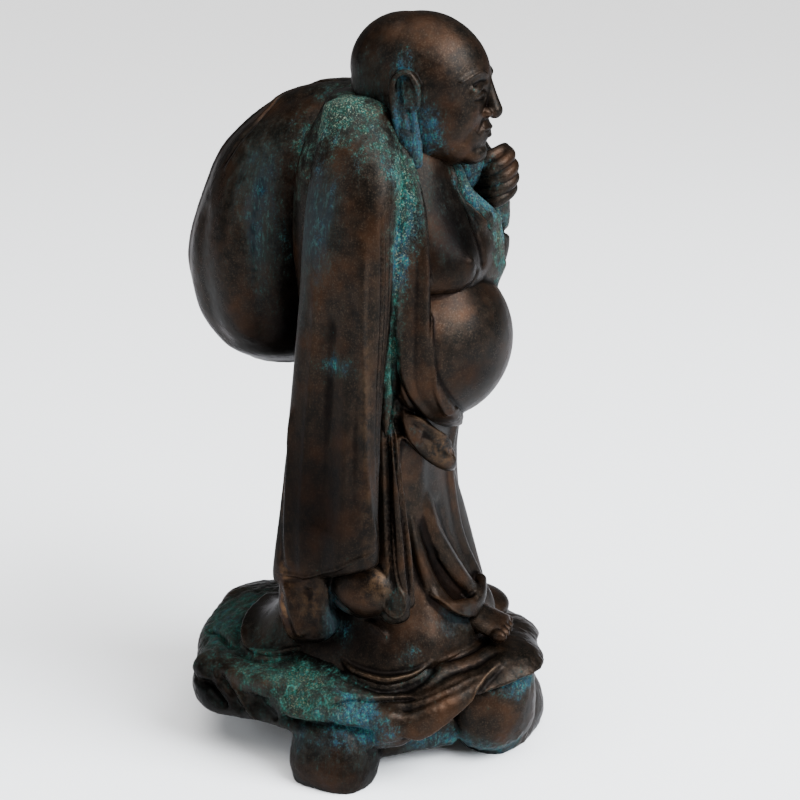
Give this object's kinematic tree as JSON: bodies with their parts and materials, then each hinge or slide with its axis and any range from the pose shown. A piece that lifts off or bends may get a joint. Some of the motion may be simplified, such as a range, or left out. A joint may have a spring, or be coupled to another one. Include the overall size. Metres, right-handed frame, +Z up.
{
  "type": "budai figure",
  "caption": "Cast bronze statue of a standing Budai: a stout bald monk in an open robe holds a full sack on the back, on a rocky plinth with stubby stone feet.",
  "frame": {"origin": "bottom centre of the bounding box, on the surface that the statue stands on", "axes": "+Z up from the plinth to the crown of the head, -Y to the front, where the belly faces, and -X to the figure's own right side"},
  "size_m": [0.117, 0.1386, 0.258],
  "materials": {
    "bronze": "dark brown cast bronze, rubbed golden on raised edges, with blue-green and pale granular verdigris in the hollows, satin gloss"
  },
  "bodies": {
    "root": {"budai_figure": "bronze"}
  },
  "joints": []
}
